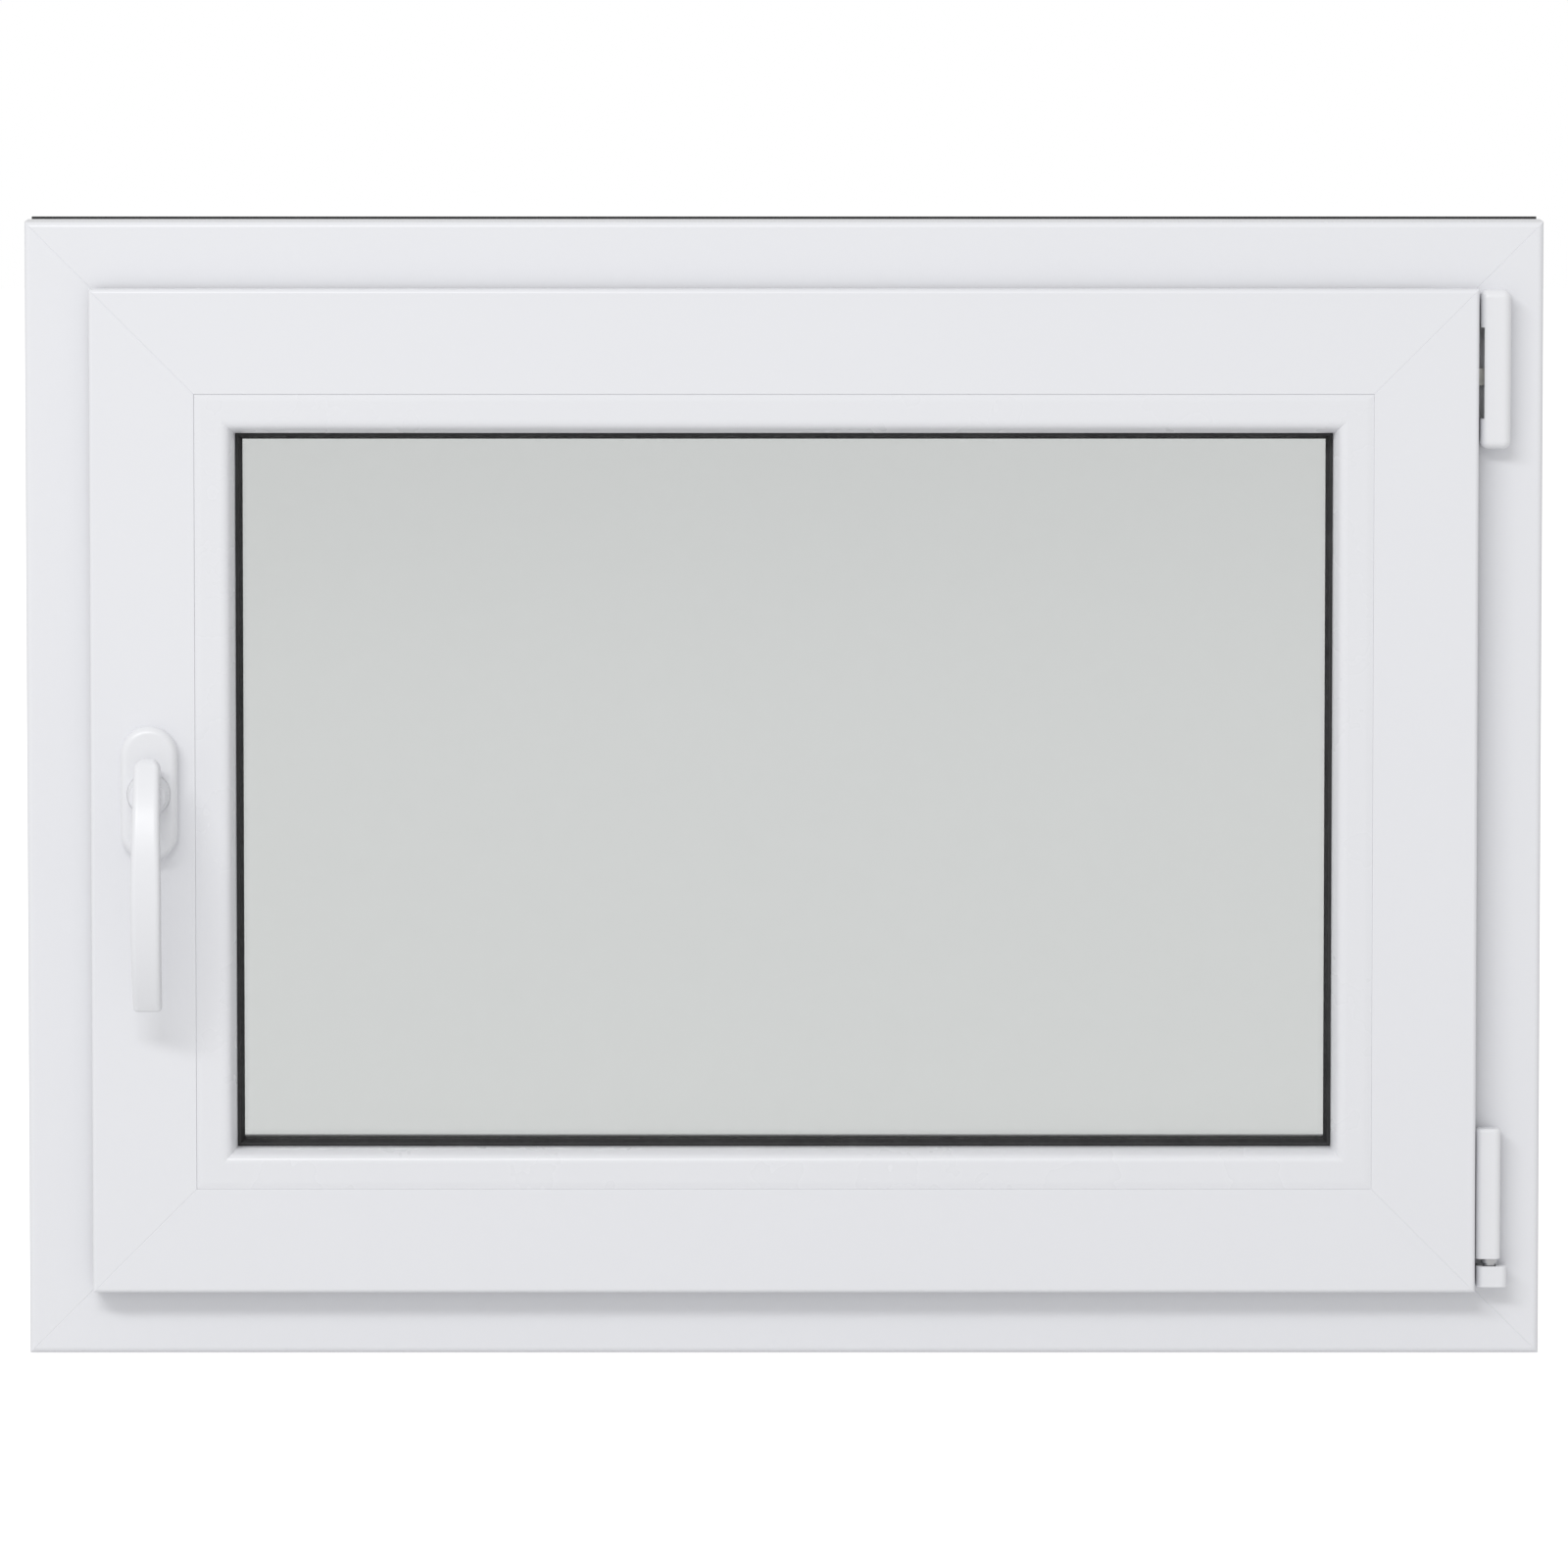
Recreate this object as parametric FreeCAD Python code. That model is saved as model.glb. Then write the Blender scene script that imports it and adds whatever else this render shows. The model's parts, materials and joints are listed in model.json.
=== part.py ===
import FreeCAD, Part
import os
from math import acos, cos, pi, radians, sin, sqrt, tan

# Tilt-and-turn casement window in white PVC-U profile, hinged on the right as seen from the room.
# X runs to the right, Y out through the wall (the room is on the -Y side) and Z up. The origin is
# under the middle of the outer frame, in the plane of the frame's room face. All sizes in mm.

V = FreeCAD.Vector
SIDES = ("bottom", "top", "left", "right")

# ---- outer frame --------------------------------------------------------------------------------
WIDTH = 800.0
HEIGHT = 600.0
FRAME_DEPTH = 70.0
FRAME_LIP = 38.75            # width of the frame's room face, from the perimeter to the rebate
FRAME_STOP = 59.0            # how far in the outer stop reaches
STOP_Y = 52.0                # room side of the outer stop
LAND_DEPTH = 36.0            # full-size part of the perimeter, measured from the room face
LAND_RECESS = 3.0            # the rest of the perimeter lies this much lower
SEAL_THICK = 4.0             # compressible strip at the rear of the perimeter
FRAME_RECT = (-WIDTH / 2, WIDTH / 2, 0.0, HEIGHT)
FRAME_CHAMBERS = ((3.0, 18.0, 3.0, 9.0), (20.0, 35.75, 3.0, 9.0), (5.0, 35.75, 11.0, 40.0),
                  (5.0, 35.75, 42.0, 53.0), (6.0, 29.0, 55.0, 67.0), (31.0, 56.0, 55.0, 67.0))
FRAME_STEEL = (5.2, 35.5, 11.2, 39.8)
STEEL_WALL = 1.5
FIXING_Z = (150.0, 450.0)    # wall fixing holes through the jambs
FIXING_Y = 18.0
FIXING_R = 3.1
DRAIN_X = (-220.0, 0.0, 220.0)
DRAIN_CAP_Z = (39.0, 52.0)

# ---- sash ---------------------------------------------------------------------------------------
SASH_INSET = 34.75
SASH_RECT = (-WIDTH / 2 + SASH_INSET, WIDTH / 2 - SASH_INSET, SASH_INSET, HEIGHT - SASH_INSET)
SASH_FACE_Y = -20.0
LIP_BACK_Y = -3.0            # back of the lip that overlaps the frame
SASH_REAR_Y = 50.0
EDGE_U = 16.0                # the sash body, and the plane of the faceplates, below the lip's edge
BEAD_LINE = 55.0             # glazing rebate, measured from the sash's outer edge
OUTER_LIP = 77.0
OUTER_LIP_Y = 29.0
GROOVE_Y = (2.0, 18.0)
GROOVE_FLOOR = 28.0
SASH_CHAMBERS = ((3.0, 16.0, -17.0, -6.0), (19.0, 52.0, -17.0, -1.0), (31.0, 52.0, 2.0, 18.0),
                 (19.0, 52.0, 21.0, 47.0), (58.0, 74.0, 32.0, 47.0))
SASH_STEEL = (19.2, 51.8, 21.2, 46.8)
WELD_GROOVE = 0.22           # half width and depth of the cleaned weld at each mitre

# ---- glazing ------------------------------------------------------------------------------------
GLASS_EDGE = 61.0
GLASS_THICK = 4.0
GLASS_INNER_Y = 2.0
GLASS_OUTER_Y = 22.0
SPACER = (68.0, 77.5)
BEAD_INNER = 76.0
BEAD_GAP = 0.05
SIGHT_LINE = 79.6
BEAD_FACE_Y = -19.85
BEAD_BACK_Y = -1.0

# ---- hinge axes ---------------------------------------------------------------------------------
AXIS_X = 373.4               # turn axis, upright
AXIS_Y = -8.0
TILT_Z = 40.0                # tilt axis, level, through the same line
PIN_R = 3.0
PIN_FIT = 0.05
TRUNNION_R = 1.6
TRUNNION_FIT = 0.1
BAND_Z = (51.9, 112.0)
BLOCK_Z = (36.9, 47.9)
CAP_Z = (481.0, 564.7)
HINGE_FRONT = 6.3            # the hinge mouldings' reach into the room from the axis
BLOCK_SIDES = (7.0, 8.9)     # reach to the left and the right of the axis
CAP_SIDES = (7.1, 9.0)
CAP_WALL = 1.2
CAP_RADIUS = 4.4
COVER_SIDES = (7.4, 5.5)
COVER_HALF_DEPTH = 5.9
COVER_ABOVE_BAND = 9.0
BARREL_R = 4.6
EYE_R = 4.4
LUG_R = 4.2
COLLAR_R = 4.2
CAP_SLOT_Z = (497.0, 545.0)
UPPER_PIN_R = 2.25
LUG_Z = ((489.0, 496.0), (546.0, 556.0))
UPPER_PIN_Z = (486.5, 557.0)

# ---- stay (the scissor that guides the top of the sash when it tilts) -----------------------------
EYE_Z = (516.0, 520.0)
RAIL_Y = 10.0
STAY_ANCHOR = 45.0           # link pivot on the sash, left of the turn axis
STAY_EYE_TO_CROSS = 150.0
STAY_LINK = 105.0
STAY_LINK_Z = (550.0, 552.2)
STAY_ARM_Z = (552.8, 555.0)
PIVOT_R = 2.5
SLIDER_R = 2.0

# ---- drive gear ---------------------------------------------------------------------------------
HANDLE_X = SASH_RECT[0] + 31.0
HANDLE_Z = HEIGHT / 2
MODULE = 1.5
PINION_TEETH = 11
PRESSURE_ANGLE = radians(20)
PITCH_R = MODULE * PINION_TEETH / 2
RACK_ADDENDUM = 0.9
PINION_ADDENDUM = 1.3
PINION_DEDENDUM = 1.45
BACKLASH = 0.2
GEAR_Y = (6.0, 14.0)
HUB_R = 5.6
CASE_Y = (3.5, 16.5)
CASE_HALF = 26.0
SPINDLE = 7.0
SCREW_PITCH = 43.0
SCREW_R = 2.5
FACEPLATE_THICK = 2.5
ROD_U = (18.6, 21.0)
ROD_Y = (6.9, 13.1)
CAM_R = 4.0
CAM_U = 11.0
STRIKER_U = 44.75            # top of the strikers, measured from the frame's perimeter
TRAVEL = PITCH_R * pi        # how far the drive rods move in half a turn of the handle
CORNER_LEG = 95.0
ROD_END = 32.0               # free space at each end of a rod
CAM_AT = {"left": (170.0, 440.0), "right": (205.0, 405.0), "top": (-150.0,), "bottom": (-190.0, 190.0)}
DRIVE_SIGN = {"left": -1, "bottom": 1, "right": 1, "top": -1}

# ---- handle -------------------------------------------------------------------------------------
ROSETTE = (30.0, 71.0)
ROSETTE_FRONT_Y = -29.5
ROSETTE_EDGE = 4.0           # radius round the rosette's rim
LEVER_FRONT_Y = -70.0        # furthest point of the bow
LEVER_END = 113.0
LEVER_HEAD = 20.0
LEVER_WIDTH = 16.0
GRIP_THICK = 11.0
BOW_BELOW = 50.0             # the bow's furthest point, below the spindle
FRONT_BOW_R = 115.0
BACK_BOW_R = 140.0
HEAD_R = 7.4
CROOK_R = 12.0               # inside curve between the grip and the neck
GRIP_EDGE = 3.0
HEAD_WIDTH = 13.6
NECK_R = (11.4, 9.4)         # at the rosette and inside the grip
NECK_LENGTH = 16.0
NECK_FIT = 0.1


# ---- small helpers --------------------------------------------------------------------------------
def box(x, y, z):
    """A block from three (low, high) pairs."""
    return Part.makeBox(x[1] - x[0], y[1] - y[0], z[1] - z[0], V(x[0], y[0], z[0]))


def cylinder(radius, start, end):
    axis = end - start
    return Part.makeCylinder(radius, axis.Length, start, axis)


def upright(radius, x, y, z):
    return cylinder(radius, V(x, y, z[0]), V(x, y, z[1]))


def along_x(radius, x, y, z):
    return cylinder(radius, V(x[0], y, z), V(x[1], y, z))


def along_y(radius, x, y, z):
    return cylinder(radius, V(x, y[0], z), V(x, y[1], z))


def outline(points, place):
    """Closed wire through (u, v) or (u, v, radius) corners, each radius a tangent arc."""
    flat = [(V(p[0], p[1], 0), p[2] if len(p) > 2 else 0.0) for p in points]
    starts, ends, arcs = [], [], []
    for i, (corner, radius) in enumerate(flat):
        back = (flat[i - 1][0] - corner).normalize()
        ahead = (flat[(i + 1) % len(flat)][0] - corner).normalize()
        half = back.getAngle(ahead) / 2
        reach = radius / tan(half)
        starts.append(corner + back * reach)
        ends.append(corner + ahead * reach)
        arcs.append(corner + (back + ahead).normalize() * (radius / sin(half) - radius))
    edges = []
    for i, (corner, radius) in enumerate(flat):
        if radius:
            edges.append(Part.Arc(*[place(p.x, p.y) for p in (starts[i], arcs[i], ends[i])]).toShape())
        after = starts[(i + 1) % len(flat)]
        if (after - ends[i]).Length > 1e-6:
            edges.append(Part.makeLine(place(ends[i].x, ends[i].y), place(after.x, after.y)))
    return Part.Wire(edges)


def rectangle(u0, u1, v0, v1, radius=0.0):
    return [(u0, v0, radius), (u1, v0, radius), (u1, v1, radius), (u0, v1, radius)]


def prism(points, place, direction):
    return Part.Face(outline(points, place)).extrude(direction)


def upright_plate(points, z):
    """Plan outline (x, y) given thickness in Z."""
    return prism(points, lambda x, y: V(x, y, z[0]), V(0, 0, z[1] - z[0]))


def facing_plate(points, y):
    """Front outline (x, z) given thickness in Y."""
    return prism(points, lambda x, z: V(x, y[0], z), V(0, y[1] - y[0], 0))


def side_place(side, rect, along):
    """Map (u, y) of a profile section to space, at a distance along its side."""
    x0, x1, z0, z1 = rect
    return {"bottom": lambda u, y: V(along, y, z0 + u), "top": lambda u, y: V(along, y, z1 - u),
            "left": lambda u, y: V(x0 + u, y, along), "right": lambda u, y: V(x1 - u, y, along)}[side]


def side_direction(side):
    return V(1, 0, 0) if side in ("bottom", "top") else V(0, 0, 1)


def strip(section, side, rect, start, end):
    """A straight length of one profile section along one side of a rectangle."""
    return prism(section, side_place(side, rect, start), side_direction(side) * (end - start))


def side_box(side, rect, u, y, along):
    return strip(rectangle(u[0], u[1], y[0], y[1]), side, rect, along[0], along[1])


def side_pin(side, rect, radius, u, y, along):
    """A round pin standing square to one side of a rectangle."""
    place = side_place(side, rect, along)
    return cylinder(radius, place(u[0], y), place(u[1], y))


def mitre_block(side, rect, u0, u1):
    """Trapezium that trims a member to its 45 degree mitres."""
    x0, x1, z0, z1 = rect
    rows = {"bottom": [(x0 + u0, z0 + u0), (x1 - u0, z0 + u0), (x1 - u1, z0 + u1), (x0 + u1, z0 + u1)],
            "top": [(x0 + u0, z1 - u0), (x1 - u0, z1 - u0), (x1 - u1, z1 - u1), (x0 + u1, z1 - u1)],
            "left": [(x0 + u0, z0 + u0), (x0 + u0, z1 - u0), (x0 + u1, z1 - u1), (x0 + u1, z0 + u1)],
            "right": [(x1 - u0, z0 + u0), (x1 - u0, z1 - u0), (x1 - u1, z1 - u1), (x1 - u1, z0 + u1)]}
    return facing_plate(rows[side], (-FRAME_DEPTH, 2 * FRAME_DEPTH))


def mitred(section, side, rect, chambers=()):
    """One mitred member of a ring, with its hollow chambers."""
    us = [p[0] for p in section]
    low = rect[0] if side in ("bottom", "top") else rect[2]
    high = rect[1] if side in ("bottom", "top") else rect[3]
    body = strip(section, side, rect, low + min(us), high - min(us))
    for u0, u1, y0, y1 in chambers:
        body = body.cut(strip(rectangle(u0, u1, y0, y1), side, rect, low, high))
    return body.common(mitre_block(side, rect, min(us), max(us)))


def ring(section, rect, sides=SIDES):
    return Part.makeCompound([mitred(section, side, rect) for side in sides])


def cut_all(body, tools):
    for tool in tools:
        body = body.cut(tool)
    return body


def fuse_all(shapes):
    body = shapes[0]
    for shape in shapes[1:]:
        body = body.fuse(shape)
    return body.removeSplitter()


def rim_edges(shape, y):
    """The edges that lie in one plane square to Y."""
    return [e for e in shape.Edges if abs(e.BoundBox.YMax - y) < 0.01]


def weld_grooves(rect, face_y, reach):
    """Shallow V along each corner's mitre on the room face."""
    tools = []
    x0, x1, z0, z1 = rect
    for x, sx in ((x0, 1), (x1, -1)):
        for z, sz in ((z0, 1), (z1, -1)):
            out = V(sx, 0, sz) * (1 / sqrt(2))
            side = V(sz, 0, -sx) * (WELD_GROOVE / sqrt(2))
            start = V(x, face_y, z) - out
            wire = Part.makePolygon([start - side, start + side, start + V(0, WELD_GROOVE, 0), start - side])
            tools.append(Part.Face(wire).extrude(out * (reach * sqrt(2) + 1)))
    return tools


def steel_section(room):
    """Folded channel that fills a reinforcement chamber, open towards the glass."""
    u0, u1, y0, y1 = room
    t = STEEL_WALL
    return [(u0, y0), (u1, y0), (u1, y0 + t), (u0 + t, y0 + t), (u0 + t, y1 - t), (u1, y1 - t),
            (u1, y1), (u0, y1)]


NODES = {}


# ---- outer frame ----------------------------------------------------------------------------------
def frame_section():
    return [(0, 0, 3.0), (FRAME_LIP, 0, 1.5), (FRAME_LIP, STOP_Y), (FRAME_STOP, STOP_Y, 1.0),
            (FRAME_STOP, FRAME_DEPTH, 2.0), (LAND_RECESS, FRAME_DEPTH), (LAND_RECESS, LAND_DEPTH),
            (0, LAND_DEPTH)]


def fixing_holes(side):
    low, high = (-1, FRAME_LIP + 1)
    return [side_pin(side, FRAME_RECT, FIXING_R, (low, high), FIXING_Y, z) for z in FIXING_Z]


def drain_slots():
    """Slots that let water out of the rebate through the stop, each with a seat for its cap."""
    tools = []
    for x in DRAIN_X:
        tools.append(box((x - 13, x + 13), (STOP_Y - 1, FRAME_DEPTH + 1), (41, 45.5)))
        tools.append(box((x - 17, x + 17), (FRAME_DEPTH - 2, FRAME_DEPTH + 1), DRAIN_CAP_Z))
    return tools


def frame_members():
    names = {"bottom": "frame_sill", "top": "frame_head", "left": "frame_jamb_handle_side",
             "right": "frame_jamb_hinge_side"}
    grooves = weld_grooves(FRAME_RECT, 0, FRAME_LIP)
    for side, name in names.items():
        body = mitred(frame_section(), side, FRAME_RECT, FRAME_CHAMBERS)
        body = cut_all(body, grooves)
        if side in ("left", "right"):
            body = cut_all(body, fixing_holes(side))
        if side == "bottom":
            body = cut_all(body, drain_slots())
        NODES[name] = body


def frame_steel():
    bars = []
    for side in SIDES:
        low, high = (-WIDTH / 2, WIDTH / 2) if side in ("bottom", "top") else (0, HEIGHT)
        bar = strip(steel_section(FRAME_STEEL), side, FRAME_RECT, low + 45, high - 45)
        bars.append(cut_all(bar, fixing_holes(side)) if side in ("left", "right") else bar)
    NODES["frame_steel"] = Part.makeCompound(bars)


def frame_trim():
    seal = rectangle(0, LAND_RECESS, FRAME_DEPTH - SEAL_THICK, FRAME_DEPTH)
    NODES["perimeter_seal"] = ring(seal, FRAME_RECT)
    gasket = [(51.5, STOP_Y), (57.5, STOP_Y), (57.5, STOP_Y - 0.8, 0.3), (55.0, STOP_Y - 1.7, 0.8),
              (51.5, STOP_Y - 0.8, 0.3)]
    NODES["frame_gasket"] = ring(gasket, FRAME_RECT)
    caps = []
    for x in DRAIN_X:
        cap = box((x - 17, x + 17), (FRAME_DEPTH - 2, FRAME_DEPTH), DRAIN_CAP_Z)
        mouth = box((x - 12, x + 12), (FRAME_DEPTH - 3, FRAME_DEPTH + 1), (41.5, 44.5))
        caps.append(cap.cut(mouth))
    NODES["drain_caps"] = Part.makeCompound(caps)


# ---- sash -----------------------------------------------------------------------------------------
def sash_section():
    return [(0, SASH_FACE_Y, 2.0), (BEAD_LINE, SASH_FACE_Y, 0.35), (BEAD_LINE, OUTER_LIP_Y),
            (OUTER_LIP, OUTER_LIP_Y, 1.0), (OUTER_LIP, SASH_REAR_Y, 3.0), (EDGE_U, SASH_REAR_Y, 1.0),
            (EDGE_U, GROOVE_Y[1]), (GROOVE_FLOOR, GROOVE_Y[1]), (GROOVE_FLOOR, GROOVE_Y[0]),
            (EDGE_U, GROOVE_Y[0]), (EDGE_U, LIP_BACK_Y), (0, LIP_BACK_Y, 1.0)]


def screw_heights():
    """Heights of the two screws that clamp the handle to the gearbox."""
    return (HANDLE_Z - SCREW_PITCH / 2, HANDLE_Z + SCREW_PITCH / 2)


def gear_pocket():
    """Milled pocket for the gearbox, with the spindle and screw holes in front of it."""
    tools = [side_box("left", SASH_RECT, (GROOVE_FLOOR - 1, 43), (3.0, 17.0),
                      (HANDLE_Z - CASE_HALF - 1, HANDLE_Z + CASE_HALF + 1))]
    tools.append(along_y(7.0, HANDLE_X, (SASH_FACE_Y - 1, 4), HANDLE_Z))
    for z in screw_heights():
        tools.append(along_y(3.0, HANDLE_X, (SASH_FACE_Y - 1, 4), z))
    return tools


def sash_members():
    names = {"bottom": "sash_bottom_rail", "top": "sash_top_rail", "left": "sash_stile_handle_side",
             "right": "sash_stile_hinge_side"}
    grooves = weld_grooves(SASH_RECT, SASH_FACE_Y, BEAD_LINE)
    for side, name in names.items():
        body = mitred(sash_section(), side, SASH_RECT, SASH_CHAMBERS)
        body = cut_all(body, grooves)
        if side == "left":
            body = cut_all(body, gear_pocket())
        NODES[name] = body


def sash_steel():
    bars = []
    for side in SIDES:
        low, high = SASH_RECT[:2] if side in ("bottom", "top") else SASH_RECT[2:]
        bars.append(strip(steel_section(SASH_STEEL), side, SASH_RECT, low + 58, high - 58))
    NODES["sash_steel"] = Part.makeCompound(bars)


def sash_gasket():
    """Compression seal behind the sash lip, thinner below the tilt axis and cut away at the hinges."""
    full = [(0.9, LIP_BACK_Y), (3.7, LIP_BACK_Y), (3.3, -0.3, 0.5), (1.3, -0.3, 0.5)]
    low = [(0.9, LIP_BACK_Y), (3.7, LIP_BACK_Y), (3.3, -1.4, 0.5), (1.3, -1.4, 0.5)]
    x0, x1, z0, z1 = SASH_RECT
    lengths = [strip(low, "bottom", SASH_RECT, x0 + 4, x1 - 4),
               strip(full, "top", SASH_RECT, x0 + 4, x1 - 24),
               strip(full, "left", SASH_RECT, z0 + 12, z1 - 4),
               strip(full, "right", SASH_RECT, BAND_Z[1] + 4, EYE_Z[0] - 6)]
    NODES["sash_gasket"] = Part.makeCompound(lengths)


# ---- glazing --------------------------------------------------------------------------------------
def pane(y):
    x0, x1, z0, z1 = SASH_RECT
    return box((x0 + GLASS_EDGE, x1 - GLASS_EDGE), (y, y + GLASS_THICK), (z0 + GLASS_EDGE, z1 - GLASS_EDGE))


def glazing_unit():
    NODES["glass_inner"] = pane(GLASS_INNER_Y)
    NODES["glass_outer"] = pane(GLASS_OUTER_Y)
    low, high = (GLASS_INNER_Y + GLASS_THICK, GLASS_OUTER_Y)
    NODES["glass_spacer"] = ring(rectangle(SPACER[0], SPACER[1], low, high), SASH_RECT)
    NODES["glass_sealant"] = ring(rectangle(GLASS_EDGE, SPACER[0], low, high), SASH_RECT)


def setting_blocks():
    """Two blocks under the glass and a pair of packers on each other side."""
    blocks = []
    depth = (GLASS_INNER_Y, GLASS_OUTER_Y + GLASS_THICK)
    for side in SIDES:
        middle, reach = (0, 180) if side in ("bottom", "top") else (HEIGHT / 2, 110)
        for along in (middle - reach, middle + reach):
            blocks.append(side_box(side, SASH_RECT, (BEAD_LINE, GLASS_EDGE), depth, (along - 25, along + 25)))
    NODES["setting_blocks"] = Part.makeCompound(blocks)


def bead_section():
    """Face that falls away a little at its outer edge and rolls over into the side next to the glass."""
    start = BEAD_LINE + BEAD_GAP
    return [(start, BEAD_FACE_Y + 0.45), (start + 3.2, BEAD_FACE_Y, 12.0),
            (BEAD_INNER - 4.0, BEAD_FACE_Y, 5.5), (BEAD_INNER, -12.5, 16.0),
            (BEAD_INNER, BEAD_BACK_Y), (start, BEAD_BACK_Y)]


def glazing_beads():
    for side in SIDES:
        hollow = ((BEAD_LINE + 2, 68.0, BEAD_FACE_Y + 2, BEAD_BACK_Y - 2),)
        NODES["glazing_bead_" + side] = mitred(bead_section(), side, SASH_RECT, hollow)


def glazing_gaskets():
    """Wedge gasket under the beads and the flat one against the outer lip."""
    wedge = [(BEAD_LINE + 5, BEAD_BACK_Y), (BEAD_INNER, BEAD_BACK_Y), (BEAD_INNER + 0.05, -2.6, 0.4),
             (77.6, -2.6, 0.8), (SIGHT_LINE, 0.8, 0.6), (SIGHT_LINE, GLASS_INNER_Y, 0.3),
             (BEAD_LINE + 5, GLASS_INNER_Y)]
    NODES["bead_gasket"] = ring(wedge, SASH_RECT)
    flat = [(70.0, GLASS_OUTER_Y + GLASS_THICK), (78.8, GLASS_OUTER_Y + GLASS_THICK, 0.3),
            (78.2, OUTER_LIP_Y + 0.9, 0.8), (OUTER_LIP, OUTER_LIP_Y + 0.9), (OUTER_LIP, OUTER_LIP_Y),
            (70.0, OUTER_LIP_Y)]
    NODES["outer_glazing_gasket"] = ring(flat, SASH_RECT)


# ---- drive gear in the sash groove ----------------------------------------------------------------
def side_range(side):
    """Low and high end of the sash along one side."""
    return SASH_RECT[:2] if side in ("bottom", "top") else SASH_RECT[2:]


def travel_range(side, along):
    """Low and high place of a point of a drive rod over the handle's whole turn."""
    moved = along + DRIVE_SIGN[side] * TRAVEL
    return (min(along, moved), max(along, moved))


def cam_slot(side, along):
    low, high = travel_range(side, along)
    return side_box(side, SASH_RECT, (EDGE_U - 1, EDGE_U + FACEPLATE_THICK + 1),
                    (RAIL_Y - CAM_R - 0.4, RAIL_Y + CAM_R + 0.4), (low - CAM_R - 1, high + CAM_R + 1))


def stay_places():
    """Plan positions of the scissor's slider, cross pivot and link pivot with the window shut."""
    arm = STAY_EYE_TO_CROSS + sqrt(STAY_EYE_TO_CROSS * STAY_LINK)
    slope = (RAIL_Y - AXIS_Y) / arm
    run = sqrt(1 - slope * slope)
    slider = (AXIS_X - arm * run, RAIL_Y)
    cross = (AXIS_X - STAY_EYE_TO_CROSS * run, AXIS_Y + STAY_EYE_TO_CROSS * slope)
    return slider, cross, (AXIS_X - STAY_ANCHOR, RAIL_Y)


def stay_slot():
    slider = stay_places()[0][0]
    return side_box("top", SASH_RECT, (EDGE_U - 1, EDGE_U + FACEPLATE_THICK + 1),
                    (RAIL_Y - 2.6, RAIL_Y + 2.6), (slider - 4, slider + 13))


def faceplates():
    for side in SIDES:
        low, high = side_range(side)
        plate = side_box(side, SASH_RECT, (EDGE_U, EDGE_U + FACEPLATE_THICK), GROOVE_Y,
                         (low + CORNER_LEG, high - CORNER_LEG))
        plate = cut_all(plate, [cam_slot(side, along) for along in CAM_AT[side]])
        if side == "top":
            plate = plate.cut(stay_slot())
        NODES["faceplate_" + side] = plate


def corner_drives():
    """Angled guides that turn the drive round each corner, with the spring strip's channel."""
    x0, x1, z0, z1 = SASH_RECT
    corners = []
    thick = EDGE_U + FACEPLATE_THICK
    channel = (ROD_U[0], ROD_U[0] + 6)
    for level, x_side in (("bottom", "left"), ("bottom", "right"), ("top", "left"), ("top", "right")):
        span_x = (x0 + EDGE_U, x0 + CORNER_LEG) if x_side == "left" else (x1 - CORNER_LEG, x1 - EDGE_U)
        span_z = (z0 + EDGE_U, z0 + CORNER_LEG) if level == "bottom" else (z1 - CORNER_LEG, z1 - EDGE_U)
        legs = [side_box(level, SASH_RECT, (EDGE_U, thick), GROOVE_Y, span_x),
                side_box(x_side, SASH_RECT, (EDGE_U, thick), GROOVE_Y, span_z)]
        near_x = (x0 + thick, x0 + 70) if x_side == "left" else (x1 - 70, x1 - thick)
        near_z = (z0 + thick, z0 + 70) if level == "bottom" else (z1 - 70, z1 - thick)
        legs.append(side_box(level, SASH_RECT, channel, ROD_Y, near_x))
        legs.append(side_box(x_side, SASH_RECT, channel, ROD_Y, near_z))
        corners.append(fuse_all(legs))
    NODES["corner_drives"] = Part.makeCompound(corners)


def rack_teeth():
    """Straight-sided teeth on the handle side's rod, one gap centred on the pinion."""
    pitch = MODULE * pi
    count = int((TRAVEL + 3 * pitch) / pitch) + 1
    place = side_place("left", SASH_RECT, 0)
    pitch_u = HANDLE_X - SASH_RECT[0] - PITCH_R
    tip_half = pitch / 4 - BACKLASH / 4 - RACK_ADDENDUM * tan(PRESSURE_ANGLE)
    root_half = pitch / 4 - BACKLASH / 4 + (pitch_u - ROD_U[1]) * tan(PRESSURE_ANGLE)
    teeth = []
    for k in range(-2, count):
        z = HANDLE_Z + (k + 0.5) * pitch
        points = [(ROD_U[1] - 0.2, z - root_half), (pitch_u + RACK_ADDENDUM, z - tip_half),
                  (pitch_u + RACK_ADDENDUM, z + tip_half), (ROD_U[1] - 0.2, z + root_half)]
        teeth.append(facing_plate([(place(u, 0).x, v) for u, v in points], GEAR_Y))
    return teeth


def drive_rods():
    """Sliding strips behind the faceplates, each with its mushroom locking cams."""
    for side in SIDES:
        low, high = side_range(side)
        span = (low + CORNER_LEG + ROD_END, high - CORNER_LEG - ROD_END)
        pieces = [side_box(side, SASH_RECT, ROD_U, ROD_Y, span)]
        for along in CAM_AT[side]:
            pieces.append(side_pin(side, SASH_RECT, CAM_R - 1.2, (ROD_U[0], CAM_U), RAIL_Y, along))
            pieces.append(side_pin(side, SASH_RECT, CAM_R, (CAM_U + 1.8, CAM_U), RAIL_Y, along))
        if side == "left":
            pieces += rack_teeth()
        NODES["drive_rod_" + side] = fuse_all(pieces)


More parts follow.
